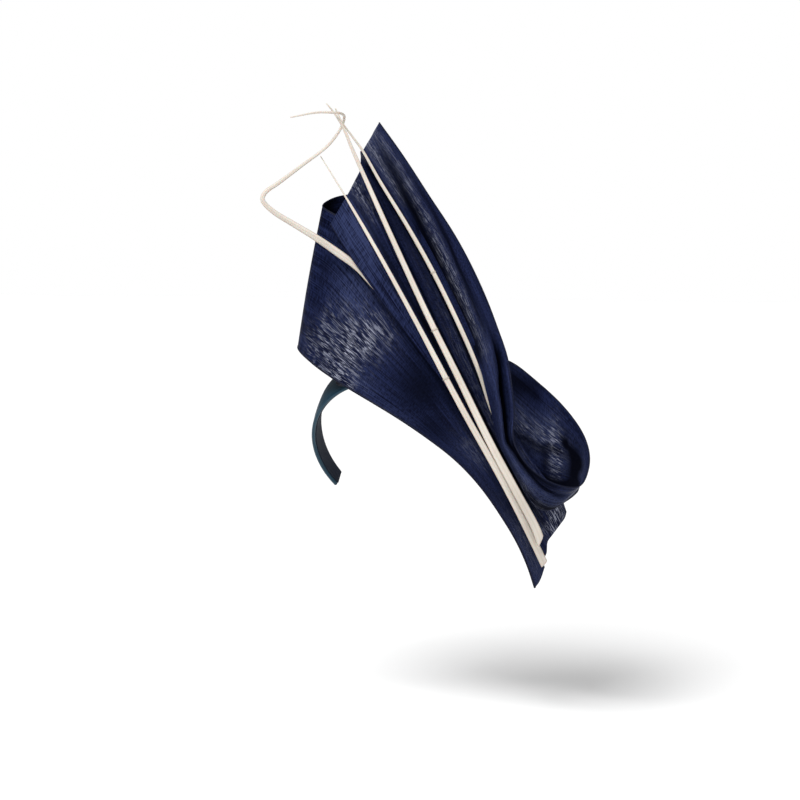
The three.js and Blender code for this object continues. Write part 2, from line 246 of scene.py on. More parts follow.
def ring_piece(name, rings):
    """A closed solid through rings of points, in metres, with a fan of faces on each end."""
    count, sides = rings.shape[:2]
    points = list(rings.reshape(-1, 3)) + [rings[0].mean(axis=0), rings[-1].mean(axis=0)]
    faces = []
    for ring in range(count - 1):
        for side in range(sides):
            a, b = ring * sides + side, ring * sides + (side + 1) % sides
            faces.append((a, b, b + sides, a + sides))
    for side in range(sides):
        after = (side + 1) % sides
        faces.append((count * sides, after, side))
        faces.append((count * sides + 1, (count - 1) * sides + side, (count - 1) * sides + after))
    middle = rings.mean(axis=1)
    run = np.concatenate([[0], np.cumsum(np.linalg.norm(np.diff(middle, axis=0), axis=1))])
    turn = np.linspace(0, 1, sides, endpoint=False)
    uvs = np.stack(np.meshgrid(run, turn, indexing="ij"), axis=-1).reshape(-1, 2)
    uvs = np.vstack([uvs, [run[0], 0.5], [run[-1], 0.5]])
    return mesh_object(name, points, faces, uvs)


def finish_piece(piece, material, node):
    """Gives a piece its material, hangs it on the root body and hides the CAD node it stands for."""
    piece.data.materials.append(material)
    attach(piece, "root")
    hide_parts(node)


# ------------------------------------------------------------------ materials
class Graph:
    """A short way to write a material's nodes."""

    def __init__(self, name):
        self.material = bpy.data.materials.new(name)
        self.material.use_nodes = True
        self.tree = self.material.node_tree
        self.shader = self.tree.nodes["Principled BSDF"]

    def node(self, kind, output=0, settings=None, **inputs):
        made = self.tree.nodes.new(kind)
        for key, value in (settings or {}).items():
            setattr(made, key, value)
        for key, value in inputs.items():
            self.feed(made, key, value)
        return made.outputs[output]

    def feed(self, made, key, value):
        socket = made.inputs[int(key[1:]) if key[0] == "i" and key[1:].isdigit() else key.replace("_", " ")]
        if isinstance(value, bpy.types.NodeSocket):
            self.tree.links.new(value, socket)
        else:
            socket.default_value = value

    def math(self, operation, a, b=0.0, clamp=False):
        return self.node("ShaderNodeMath", settings={"operation": operation, "use_clamp": clamp}, i0=a, i1=b)

    def ramp(self, value, low, high):
        """A smooth step from 0 at low to 1 at high."""
        return self.node(
            "ShaderNodeMapRange", settings={"interpolation_type": "SMOOTHSTEP"},
            Value=value, From_Min=low, From_Max=high,
        )

    def noise(self, scales, detail=2.0, rough=0.55):
        """Noise over the flat cloth, with its own scale along and across, per metre."""
        spot = self.node("ShaderNodeUVMap", settings={"uv_map": "UVMap"})
        spread = self.node(
            "ShaderNodeVectorMath", settings={"operation": "MULTIPLY"}, i0=spot, i1=(*scales, 1.0)
        )
        return self.node("ShaderNodeTexNoise", Vector=spread, Scale=1.0, Detail=detail, Roughness=rough)

    def mix(self, share, a, b):
        made = self.tree.nodes.new("ShaderNodeMix")
        made.data_type = "RGBA"
        for key, value in ((0, share), (6, a), (7, b)):
            if isinstance(value, bpy.types.NodeSocket):
                self.tree.links.new(value, made.inputs[key])
            else:
                made.inputs[key].default_value = value
        return made.outputs[2]

    def mask(self, name):
        return self.node("ShaderNodeAttribute", output=2, settings={"attribute_name": name})

    def bump(self, height, distance, strength=1.0, before=None):
        made = self.tree.nodes.new("ShaderNodeBump")
        made.inputs["Strength"].default_value = strength
        made.inputs["Distance"].default_value = distance
        self.tree.links.new(height, made.inputs["Height"])
        if before is not None:
            self.tree.links.new(before, made.inputs["Normal"])
        return made.outputs[0]

    def surface(self, colour, roughness, normal=None, **values):
        self.feed(self.shader, "Base_Color", colour)
        self.feed(self.shader, "Roughness", roughness)
        if normal is not None:
            self.feed(self.shader, "Normal", normal)
        for key, value in values.items():
            self.shader.inputs[key.replace("_", " ")].default_value = value
        return self.material


def abaca_material():
    """Silk abaca: fine threads both ways and streaky sheen, with painted highlights, painted shade in its
    folds and hollows, and pale wavering strands painted as light showing through where the cloth is thin.
    """
    g = Graph("silk_abaca")
    threads = g.noise((16, 1050), detail=2.0, rough=0.7)
    streaks = g.noise((5, 320), detail=2.0)
    bands = g.noise((4, 60), detail=2.0)
    weft = g.noise((1000, 150), detail=1.0)
    tone = g.math("ADD", g.math("MULTIPLY", threads, 0.60), g.math("MULTIPLY", streaks, 0.15))
    tone = g.math("ADD", tone, g.math("MULTIPLY", bands, 0.08))
    tone = g.math("ADD", tone, g.math("MULTIPLY", weft, 0.30))
    cloth = g.mix(g.ramp(tone, 0.47, 0.67), (0.0005, 0.0009, 0.0065, 1.0), (0.0128, 0.0190, 0.0625, 1.0))
    # Painted highlight: where its mask is set, the brighter threads are lifted to a paler blue.
    lift = g.math("MULTIPLY", g.ramp(tone, 0.45, 0.64), g.mask("painted_highlight"), clamp=True)
    cloth = g.mix(lift, cloth, (0.0370, 0.0490, 0.1200, 1.0))
    # Where the cloth is thin it is darker between its strands, and pale wavering strands are painted in as
    # light showing through the weave.
    strands = g.noise((60, 640), detail=1.0, rough=0.5)
    clumps = g.noise((90, 300), detail=1.0)
    apart = g.math("ABSOLUTE", g.math("SUBTRACT", strands, 0.5))
    pale = g.math("MULTIPLY", g.math("SUBTRACT", 1.0, g.ramp(apart, 0.01, 0.055)), g.ramp(clumps, 0.34, 0.54))
    cloth = g.mix(g.math("MULTIPLY", g.mask("sheer_and_see_through_light"), 0.6), cloth, (0.0020, 0.0024, 0.0080, 1.0))
    lit = g.math("MULTIPLY", pale, g.mask("sheer_and_see_through_light"), clamp=True)
    cloth = g.mix(lit, cloth, (0.350, 0.370, 0.465, 1.0))
    cloth = g.mix(g.mask("shade"), cloth, (0.0002, 0.0003, 0.0012, 1.0))
    dull = g.math("MULTIPLY", g.mask("shade"), 0.65)
    roughness = g.math("ADD", g.math("ADD", g.math("MULTIPLY", streaks, 0.30), 0.20), dull)
    relief = g.bump(threads, 0.0004, 0.9)
    relief = g.bump(weft, 0.0002, 0.5, relief)
    tangent = g.node("ShaderNodeTangent", settings={"direction_type": "UV_MAP", "uv_map": "UVMap"})
    g.feed(g.shader, "Tangent", tangent)
    return g.surface(
        cloth, roughness, relief, Anisotropic=0.75, Specular_IOR_Level=0.13,
        Specular_Tint=(0.36, 0.43, 1.0, 1.0),
    )


def hem_material():
    g = Graph("rolled_hem")
    twist = g.noise((900, 9), detail=2.0)
    colour = g.mix(g.ramp(twist, 0.35, 0.7), (0.0014, 0.0024, 0.0100, 1.0), (0.0060, 0.0090, 0.0300, 1.0))
    return g.surface(colour, 0.6, g.bump(twist, 0.0002, 0.5), Specular_IOR_Level=0.15)


def quill_material():
    """A stripped feather shaft: ivory, with fine lines along it, a browner groove, warm painted shade along
    its sides and a little wax shine.
    """
    g = Graph("quill_shaft")
    fine = g.noise((45, 26), detail=3.0)
    broad = g.noise((18, 1.2), detail=2.0)
    colour = g.mix(g.ramp(broad, 0.3, 0.7), (0.60, 0.545, 0.48, 1.0), (0.69, 0.64, 0.575, 1.0))
    colour = g.mix(g.math("MULTIPLY", g.ramp(fine, 0.56, 0.74), 0.22), colour, (0.50, 0.43, 0.35, 1.0))
    # The mask browns the groove a little and paints warm shade along the sides, where shafts lie together.
    colour = g.mix(g.mask("groove"), colour, (0.42, 0.32, 0.22, 1.0))
    rough = g.math("ADD", g.math("MULTIPLY", fine, 0.2), 0.36)
    return g.surface(
        colour, rough, g.bump(fine, 0.00005, 0.4), Specular_IOR_Level=0.4, Subsurface_Weight=0.12,
        Subsurface_Scale=0.003,
    )


def satin_material():
    """Teal-navy satin wrapped round the headband."""
    g = Graph("band_satin")
    weave = g.noise((30, 900), detail=2.0)
    cloud = g.noise((22, 14), detail=2.0)
    colour = g.mix(g.ramp(cloud, 0.3, 0.75), (0.006, 0.030, 0.055, 1.0), (0.012, 0.052, 0.085, 1.0))
    colour = g.mix(g.math("MULTIPLY", weave, 0.35), colour, (0.004, 0.016, 0.034, 1.0))
    normal = g.bump(weave, 0.0001, 0.4, g.bump(cloud, 0.0012, 0.35))
    return g.surface(colour, 0.36, normal, Specular_IOR_Level=0.35, Specular_Tint=(0.55, 0.85, 1.0, 1.0))


def ribbon_material():
    """Ribbed ribbon on the band's inner face."""
    g = Graph("band_ribbon")
    ribs = g.node(
        "ShaderNodeTexWave", output=1, settings={"wave_type": "BANDS", "bands_direction": "X"},
        Vector=g.node("ShaderNodeUVMap", settings={"uv_map": "UVMap"}), Scale=170.0, Distortion=0.3,
    )
    colour = g.mix(ribs, (0.004, 0.007, 0.016, 1.0), (0.012, 0.018, 0.038, 1.0))
    return g.surface(colour, 0.75, g.bump(ribs, 0.0003, 0.7), Specular_IOR_Level=0.25)


def buckram_material():
    g = Graph("base_buckram")
    warp = g.node(
        "ShaderNodeTexWave", output=1, settings={"wave_type": "BANDS", "bands_direction": "X"},
        Vector=g.node("ShaderNodeUVMap", settings={"uv_map": "UVMap"}), Scale=260.0, Distortion=1.0,
    )
    grain = g.noise((700, 700), detail=2.0)
    colour = g.mix(g.math("MULTIPLY", warp, grain), (0.012, 0.013, 0.020, 1.0), (0.06, 0.065, 0.09, 1.0))
    return g.surface(colour, 0.85, g.bump(warp, 0.0004, 0.8), Specular_IOR_Level=0.2)


def core_material():
    g = Graph("band_core_plastic")
    spot = g.node("ShaderNodeTexCoord", output=3)
    grain = g.node("ShaderNodeTexNoise", Vector=spot, Scale=900.0, Detail=2.0)
    colour = g.mix(grain, (0.020, 0.020, 0.024, 1.0), (0.036, 0.036, 0.042, 1.0))
    return g.surface(colour, 0.5, g.bump(grain, 0.0001, 0.4))


def thread_material():
    g = Graph("sewing_thread")
    twist = g.noise((2600, 3), detail=1.0)
    colour = g.mix(twist, (0.42, 0.36, 0.29, 1.0), (0.68, 0.62, 0.54, 1.0))
    return g.surface(colour, 0.55, g.bump(twist, 0.0001, 0.7), Specular_IOR_Level=0.4)


# ------------------------------------------------------------------ the cloth strips
WRAP_LOW = [
    [120, -177, 0], [114, -159, 5], [105, -139, 11], [91, -116, 19], [74, -92, 26], [54, -71, 31],
    [32, -54, 32], [10, -39, 28], [-13, -25, 18], [-35, -12, 7], [-56, 2, -2], [-67, 11, -7],
    [-73, 17, -12], [-75, 21, -18], [-72, 23, -24], [-58, 24, -27], [-36, 24, -24], [-3, 25, -19],
    [31, 23, -17], [58, 17, -10], [79, 1, 3],
]
WRAP_HIGH = [
    [128, -160, 3], [124, -147, 8], [116, -128, 15], [107, -110, 22], [94, -86, 29], [80, -59, 32],
    [62, -27, 33], [42, 8, 29], [22, 40, 23], [0, 74, 16], [-21, 106, 10], [-39, 126, 4],
    [-50, 133, -2], [-54, 137, -10], [-52, 141, -19], [-43, 146, -25], [-25, 148, -25], [6, 137, -22],
    [37, 110, -18], [62, 72, -10], [80, 37, 3],
]
FAN_RIBS = [
    [[-47, 120, 10], [-33, 97, 20], [-11.5, 66, 28], [11, 36, 32], [29, 12, 35],
     [48, -14, 38], [72, -55, 38], [94, -94, 31], [113, -131, 18], [125, -154, 9]],
    [[-34, 142, 13], [-18, 116, 21], [-1, 86, 28], [17, 53, 33], [35, 21, 36],
     [52, -13, 40], [73, -56, 40], [96, -96, 33], [115, -132, 20], [126, -153, 11]],
    [[-29, 152, 8], [-12, 126, 15], [5, 93, 22], [23, 59, 27], [40, 24, 32],
     [58, -13, 37], [79, -55, 38], [100, -95, 32], [118, -129, 19], [129, -148, 10]],
    [[-23, 163, 12], [-6, 130, 18], [11, 93, 24], [28, 58, 28.5], [44, 23, 33.5],
     [63, -14, 38.5], [83, -56, 40.5], [103, -95, 34.5], [121, -126, 21], [130, -138, 12]],
    [[-22, 177, -4], [-2, 134, 2], [18, 95, 8], [37, 58, 13], [54, 21, 18],
     [71, -16, 22], [90, -55, 27], [112, -93, 29], [127, -118, 19], [134, -131, 11]],
    [[-22, 181, 3], [3, 140, 7], [28, 97, 13], [48, 57, 17.5], [63, 23, 20.5],
     [78, -15, 21.5], [97, -52, 24], [122, -88, 26], [137, -103, 17], [144, -119, 10]],
]
SWEEP_INNER = [
    [-20, 182, 3], [-6, 158, 5.5], [12, 129, 9], [30, 100, 12], [46, 70, 16], [60, 41, 19],
    [71, 17, 21.5], [76, -4, 31], [80, -21, 34], [84, -39, 37], [88, -57, 38.5], [95, -70, 39],
    [105, -88, 38.5], [117, -108, 34], [128, -112, 28], [139, -108, 21], [150, -102, 12], [156, -97, 3],
    [154, -97, -7], [147, -99, -16], [136, -97, -22], [120, -88, -24], [101, -66, -14], [83, -36, 9],
]
SWEEP_OUTER = [
    [-7, 204, 4], [13, 176, 6], [34, 143, 8], [52, 116, 9], [67, 89, 10], [81, 58, 12],
    [89, 36, 15], [97, 12, 19], [100, -11, 25], [102, -33, 31], [100, -53, 36], [106, -67, 40],
    [117, -80, 42], [131, -89, 40], [146, -93, 34], [156, -92, 26], [162, -83, 16], [165, -69, 7],
    [161, -52, -1], [151, -36, -7], [139, -22, -11], [121, -6, -13], [103, 8, -8], [84, 14, 7],
]
ROWS = 421
WRAP_COLUMNS = 61
FAN_COLUMNS = 113
SWEEP_COLUMNS = 65
STRIP_PASSES = 60
FAN_PASSES = 40
TAIL_ROUNDING = 2.2
TAIL_ROWS = 12
HEM_SIDES = 12
WRAP_LOWER_HEM = (0.9, 0.6)  # a hem's half width and half height
WRAP_UPPER_HEM = (0.7, 0.5)
SWEEP_OUTER_HEM = (0.6, 0.45)
CHANNEL_WALL = 0.28  # shares of the way from the middle quill's ridge to the right edge
CHANNEL_FAR = 0.76
CHANNEL_RISE = 0.5
UNDER_SWEEP = ([0, 4, 6, 9], [1, 1, 0.5, 0])  # control rows, how much of the right edge is under the sweep
TUCK_UNDER = [7.0, 2.0, -4.0]  # the right edge's last step, under the sweep and where it is free
TUCK_FREE = [1.5, 5.0, -0.5]
WRAP_BOW = ([0, 5, 9, 11.6, 13.2, 15, 20], [0, 2, 5, 3, 1, 3, 0])  # control rows, millimetres


def strip_grid(low, high, columns, bow):
    """A strip between two matching edges, its middle bowed out towards the front."""
    a = smooth_line(low, ROWS)
    b = smooth_line(high, ROWS)
    s = np.linspace(0, 1, columns)[None, :, None]
    grid = relaxed(a[:, None] * (1 - s) + b[:, None] * s, STRIP_PASSES)
    return grid + grid_normals(grid) * (bow[:, None] * np.sin(np.pi * s[..., 0]))[..., None]


# Oval patches on a strip: along, across, half length, half width, strength.
# Pale strands painted on the wrap as light showing through its thin weave.
WRAP_SEE_THROUGH_LIGHT = [
    (0.55, 0.12, 0.024, 0.12, 0.35), (0.505, 0.20, 0.026, 0.20, 0.75), (0.465, 0.30, 0.028, 0.24, 1.0),
    (0.445, 0.50, 0.022, 0.18, 0.85), (0.43, 0.64, 0.018, 0.12, 0.6), (0.465, 0.08, 0.030, 0.12, 0.95),
    (0.25, 0.60, 0.030, 0.25, 0.22), (0.08, 0.5, 0.08, 0.5, 0.25),
]
# Painted highlights on the wrap: patches where the colour is lifted paler.
WRAP_PAINTED_HIGHLIGHTS = [
    (0.485, 0.66, 0.035, 0.26, 0.7), (0.435, 0.14, 0.035, 0.12, 0.6), (0.25, 0.62, 0.024, 0.30, 0.4),
    (0.36, 0.06, 0.05, 0.06, 0.3), (0.05, 0.5, 0.12, 0.6, 0.3),
]
WRAP_SHADOWS = [
    (0.35, 0.55, 0.045, 0.42, 0.85), (0.33, 0.85, 0.08, 0.20, 0.8), (0.42, 0.93, 0.06, 0.10, 0.8),
    (0.558, 0.62, 0.016, 0.45, 0.3), (0.305, 0.30, 0.035, 0.35, 0.65), (0.71, 0.96, 0.060, 0.25, 1.0),
    (0.50, 0.97, 0.05, 0.08, 0.7), (0.16, 0.6, 0.045, 0.5, 0.5),
]
# Pale strands painted on the loop as light showing through its thin weave.
LOOP_SEE_THROUGH_LIGHT = [(0.862, 0.35, 0.018, 0.35, 0.6)]
# Painted shade in the loop's hollow.
LOOP_HOLLOW_SHADE = [
    (0.797, 0.30, 0.033, 0.44, 1.2), (0.835, 0.62, 0.012, 0.2, 0.5), (0.887, 0.24, 0.008, 0.12, 0.6),
]

# Soft lines along a strip: control rows along it, shares of its width, strengths and the line's width in
# millimetres. The strengths of ridges and valleys are millimetres too.
WRAP_RIDGES = [([0, 1.6, 6, 9, 20], [0.3, 0.3, 0.35, 0.35, 0.35], [0, 0.8, 1.2, 0, 0], 9)]
WRAP_VALLEYS = [([0, 5, 8.4, 10, 20], [0.55, 0.62, 0.7, 0.8, 0.8], [0, 1.4, 1.0, 0, 0], 12)]
# Pale strands painted on the fan as light showing through its thin weave.
FAN_SEE_THROUGH_LIGHT = [
    ([0, 7.9, 8.4, 9], [0.72, 0.72, 0.72, 0.72], [0, 0.3, 1, 0.9], 10),
    ([0, 0.6, 1.4, 9], [0.3, 0.3, 0.28, 0.2], [0.7, 0.5, 0, 0], 6),
]
# A painted highlight on the fan.
FAN_PAINTED_HIGHLIGHTS = [([0, 1, 2.5, 4, 9], [0.08, 0.08, 0.09, 0.1, 0.1], [0.6, 0.6, 0.3, 0, 0], 12)]
FAN_SHADOWS = [
    ([0, 1, 2, 4.4, 6.2, 9], [0.2, 0.19, 0.18, 0.2, 0.3, 0.3], [0.2, 0.5, 0.8, 0.95, 0.8, 0], 3.0),
    ([0, 1.1, 2.4, 3.6, 4.5, 9], [0.36, 0.34, 0.30, 0.24, 0.22, 0.22], [0, 0.5, 0.7, 0.6, 0, 0], 2.2),
    ([0, 1, 4, 6.5, 7.6, 9], [0.50, 0.50, 0.50, 0.53, 0.54, 0.5], [0.5, 0.9, 0.95, 0.95, 0.5, 0], 2.2),
    ([0, 1, 5, 7.2, 9], [0.78, 0.79, 0.80, 0.82, 0.8], [0.6, 0.9, 0.95, 0.9, 0], 2.4),
    ([0, 1, 3, 6, 8, 9], [0.63, 0.63, 0.64, 0.64, 0.64, 0.64], [0, 0.3, 0.4, 0.4, 0.2, 0], 7),
]
SWEEP_RIDGES = [
    ([0, 1, 2.4, 3.5, 4.5, 6, 7, 23], [0.8, 0.75, 0.6, 0.45, 0.42, 0.54, 0.5, 0.4],
     [1, 2.5, 3, 3, 3, 2.5, 0, 0], 7),
    ([0, 6, 7, 8, 9.2, 10.3, 12, 23], [0.54, 0.54, 0.40, 0.30, 0.34, 0.45, 0.5, 0.5],
     [0, 0, 3.5, 4, 4, 2.5, 0, 0], 4.2),
    ([0, 6, 7, 8, 9, 10, 11, 23], [0.9, 0.9, 0.9, 0.88, 0.86, 0.9, 0.9, 0.9],
     [0, 0, 2, 3, 3.4, 2.5, 0, 0], 2.2),
    ([0, 10.2, 11, 12, 13, 14, 15.2, 23], [0.9, 0.9, 0.88, 0.86, 0.85, 0.84, 0.9, 0.9],
     [0, 0, 1.6, 2, 2, 1.2, 0, 0], 2.2),
    ([0, 10.5, 12, 14, 15.5, 23], [0.3, 0.35, 0.35, 0.3, 0.3, 0.3], [0, 1, 3, 2.5, 0, 0], 7),
    ([0, 18.6, 20, 20.6, 21.4, 22.3, 23], [0.4, 0.42, 0.38, 0.31, 0.24, 0.2, 0.2], [0, 0, 2, 3, 4, 2, 0], 5),
    ([0, 18.4, 19.2, 20.2, 21, 23], [0.2, 0.2, 0.18, 0.14, 0.1, 0.1], [0, 0, 1.5, 2, 0, 0], 6),
]
# Valleys sink the cloth; in the sweep, their depth also sets painted shade.
SWEEP_VALLEYS = [
    ([0, 1, 2, 3, 4, 6, 7, 23], [0.5, 0.45, 0.34, 0.20, 0.14, 0.10, 0.1, 0.1],
     [1, 4.5, 6, 6, 5.5, 4, 0, 0], 3.8),
    ([0, 5.6, 6.8, 8, 9, 10, 11, 23], [0.80, 0.80, 0.76, 0.63, 0.61, 0.66, 0.7, 0.7],
     [0, 0, 5, 8, 8, 6, 0, 0], 3.3),
    ([0, 10, 11, 12, 13, 14, 14.8, 23], [0.7, 0.7, 0.7, 0.7, 0.68, 0.62, 0.6, 0.6],
     [0, 2, 4, 4, 3.6, 2.4, 0, 0], 2.0),
    ([0, 19.4, 20, 21, 22, 23], [0.55, 0.52, 0.48, 0.36, 0.24, 0.2], [0, 0, 2.5, 4, 4, 2], 3.5),
]
# The valley depth in millimetres that gets full painted shade.
VALLEY_FULL_SHADE_DEPTH = 6
SWEEP_SHADOWS = [
    ([0, 6.4, 7.2, 8.4, 9.4, 10.2, 23], [0.78, 0.78, 0.72, 0.66, 0.64, 0.66, 0.7],
     [0, 0, 0.6, 0.9, 0.8, 0, 0], 3.5),
    ([0, 2, 3, 4, 5.4, 6.5, 23], [0.9, 0.86, 0.74, 0.60, 0.52, 0.5, 0.5],
     [0, 0.6, 0.85, 0.85, 0.5, 0, 0], 2.4),
    ([0, 9.5, 10.5, 11.4, 13, 14, 23], [0.97, 0.97, 0.97, 0.94, 0.9, 0.9, 0.9],
     [0, 0, 1, 1.2, 0.9, 0, 0], 3.0),
    ([0, 12, 13, 14, 15.5, 23], [0.3, 0.3, 0.3, 0.3, 0.3, 0.3], [0, 0, 0.35, 0.35, 0, 0], 8),
    ([0, 18.6, 19.4, 20.4, 21.2, 22, 23], [0.1, 0.1, 0.09, 0.08, 0.1, 0.14, 0.2],
     [0, 0.9, 1, 1, 1, 0, 0], 3.5),
    ([0, 20.4, 21, 22, 23], [0.95, 0.95, 0.88, 0.80, 0.8], [0, 0, 0.75, 0.85, 0.6], 11),
    ([0, 16.8, 18, 19.4, 20, 23], [0.5, 0.5, 0.5, 0.6, 0.7, 0.7], [0, 0, 0.5, 0.7, 0, 0], 5),
]
# Painted highlights on the sweep and loop.
SWEEP_PAINTED_HIGHLIGHTS = [
    ([0, 0.7, 1.4, 2.2, 5, 23], [0.40, 0.45, 0.6, 0.6, 0.6, 0.6], [1, 0.7, 0.4, 0, 0, 0], 10),
    ([0, 6.5, 8, 10, 11.5, 23], [0.95, 0.95, 0.9, 0.9, 0.9, 0.9], [0, 0, 0.3, 0.3, 0, 0], 3),
    ([0, 19.2, 20.2, 21, 22.4, 23], [0.5, 0.6, 0.62, 0.50, 0.45, 0.5], [0, 0.3, 1.2, 1.2, 0.5, 0], 13),
    ([0, 12.5, 14, 15.5, 16.5, 23], [0.5, 0.5, 0.5, 0.5, 0.5, 0.5], [0, 0.2, 0.3, 0.3, 0, 0], 8),
    ([0, 19.3, 19.8, 20.4, 21, 22, 23], [0.3, 0.3, 0.3, 0.3, 0.3, 0.3, 0.3], [0, 0.6, 1, 0, 1, 0.3, 0], 6),
]
# Pale strands painted on the sweep and loop as light showing through their thin weave.
SWEEP_SEE_THROUGH_LIGHT = [
    ([0, 1, 2.4, 3.5, 4.5, 6, 7, 23], [0.66, 0.64, 0.50, 0.34, 0.28, 0.28, 0.3, 0.3],
     [0.5, 0.45, 0.5, 0.7, 0.7, 0.35, 0, 0], 4.5),
    ([0, 0.6, 1.2, 1.6, 2.0, 23], [0.25, 0.26, 0.26, 0.22, 0.2, 0.2], [0.9, 0.8, 0.7, 0.5, 0, 0], 3.5),
    ([0, 19, 20, 21, 22, 23], [0.4, 0.5, 0.58, 0.46, 0.40, 0.4], [0, 0.1, 0.42, 0.5, 0.4, 0], 11),
    ([0, 11, 13, 14, 15.5, 23], [0.1, 0.1, 0.1, 0.1, 0.1, 0.1], [0, 0, 0.8, 0.5, 0, 0], 5),
]


def wrap_grid():
    """The wrap, bowed out over the brow, with a rounded tail."""
    bow = along_profile(ROWS, *WRAP_BOW)
    grid = folded(strip_grid(WRAP_LOW, WRAP_HIGH, WRAP_COLUMNS, bow), WRAP_RIDGES, WRAP_VALLEYS)
    middle = grid[:, WRAP_COLUMNS // 2]
    away = middle[0] - middle[TAIL_ROWS]
    away /= np.linalg.norm(away)
    along = along_profile(ROWS, [0, 1, 20], [TAIL_ROUNDING, 0, 0])
    across = np.sin(np.pi * np.linspace(0, 1, WRAP_COLUMNS))
    return grid + np.outer(along, across)[..., None] * away


def fan_grid():
    """The fan's ribs, with a flat-floored channel between two quills and an edge tucked under the sweep."""
    lines = [smooth_line(rib, ROWS) for rib in FAN_RIBS]
    ridge, floor, right = lines[3], lines[4], lines[5]
    wall = ridge * (1 - CHANNEL_WALL) + right * CHANNEL_WALL
    wall[:, 2] = floor[:, 2]
    far = ridge * (1 - CHANNEL_FAR) + right * CHANNEL_FAR
    far[:, 2] = floor[:, 2] + CHANNEL_RISE
    under_sweep = along_profile(ROWS, *UNDER_SWEEP)
    tuck = right + np.outer(under_sweep, TUCK_UNDER) + np.outer(1 - under_sweep, TUCK_FREE)
    knots = [lines[0], lines[1], lines[2], ridge, wall, far, right, tuck]
    return relaxed(section_grid(knots, FAN_COLUMNS), FAN_PASSES)


def sweep_grid():
    """The sweep and its loop, folded along its length."""
    grid = strip_grid(SWEEP_INNER, SWEEP_OUTER, SWEEP_COLUMNS, np.zeros(ROWS))
    return folded(grid, SWEEP_RIDGES, SWEEP_VALLEYS)


def edge_piece(name, grid, column, half_width, half_height):
    """A narrow rolled hem that holds one long edge of a sheet."""
    edge = grid[:, column]
    inner = grid[:, column + (1 if column == 0 else -1)]
    normals = grid_normals(grid)[:, column]
    along = np.gradient(edge, axis=0)
    along /= np.linalg.norm(along, axis=1, keepdims=True)
    inward = inner - edge
    inward -= along * np.sum(inward * along, axis=1, keepdims=True)
    inward /= np.linalg.norm(inward, axis=1, keepdims=True)
    centres = edge + inward * half_width * 0.5
    turn = np.linspace(0, 2 * np.pi, HEM_SIDES, endpoint=False)
    section = np.stack([half_width * np.cos(turn), half_height * np.sin(turn)], axis=1)
    rings = tube_rings(centres, normals, np.repeat(section[None], len(centres), axis=0))
    return ring_piece(name, to_row(rings))


def make_wrap(abaca, hem):
    grid = wrap_grid()
    masks = {
        # Pale strands painted as light showing through the thin weave.
        "sheer_and_see_through_light": patch_mask(grid.shape[:2], WRAP_SEE_THROUGH_LIGHT),
        # Painted highlights.
        "painted_highlight": patch_mask(grid.shape[:2], WRAP_PAINTED_HIGHLIGHTS),
        "shade": patch_mask(grid.shape[:2], WRAP_SHADOWS),
    }
    cloth = cloth_piece("wrap_cloth", grid, WRAP_WIDTH, masks)
    finish_piece(cloth, abaca, "front_wrap")
    lower = edge_piece("wrap_hem_lower", grid, 0, *WRAP_LOWER_HEM)
    finish_piece(lower, hem, "front_wrap_lower_hem")
    upper = edge_piece("wrap_hem_upper", grid, -1, *WRAP_UPPER_HEM)
    finish_piece(upper, hem, "front_wrap_upper_hem")


def make_fan(abaca):
    grid = fan_grid()
    masks = {
        # Pale strands painted as light showing through the thin weave.
        "sheer_and_see_through_light": band_mask(grid, FAN_SEE_THROUGH_LIGHT),
        # Painted highlights.
        "painted_highlight": band_mask(grid, FAN_PAINTED_HIGHLIGHTS),
        "shade": band_mask(grid, FAN_SHADOWS),
    }
    cloth = cloth_piece("fan_cloth", grid, FAN_WIDTH, masks)
    finish_piece(cloth, abaca, "pleated_fan")


def make_sweep(abaca, hem):
    grid = sweep_grid()
    # Pale strands painted on the loop as light showing through its thin weave.
    loop_see_through_light = patch_mask(grid.shape[:2], LOOP_SEE_THROUGH_LIGHT)
    # Painted shade in the loop's hollow and, by their depth, in the valleys.
    hollow = patch_mask(grid.shape[:2], LOOP_HOLLOW_SHADE)
    valleys = band_mask(grid, SWEEP_VALLEYS, VALLEY_FULL_SHADE_DEPTH)
    masks = {
        # Pale strands painted as light showing through the thin weave.
        "sheer_and_see_through_light": np.clip(band_mask(grid, SWEEP_SEE_THROUGH_LIGHT) + loop_see_through_light, 0, 1),
        # Painted highlights.
        "painted_highlight": band_mask(grid, SWEEP_PAINTED_HIGHLIGHTS),
        # Painted shade: the valleys, the listed shadow lines and the loop's hollow.
        "shade": np.clip(valleys + band_mask(grid, SWEEP_SHADOWS) + hollow, 0, 1),
    }
    cloth = cloth_piece("sweep_cloth", grid, SWEEP_WIDTH, masks)
    finish_piece(cloth, abaca, "sweep_loop")
    outer = edge_piece("sweep_hem", grid, -1, *SWEEP_OUTER_HEM)
    finish_piece(outer, hem, "sweep_loop_outer_hem")


def make_cloth():
    abaca = abaca_material()
    hem = hem_material()
    make_wrap(abaca, hem)
    make_fan(abaca)
    make_sweep(abaca, hem)


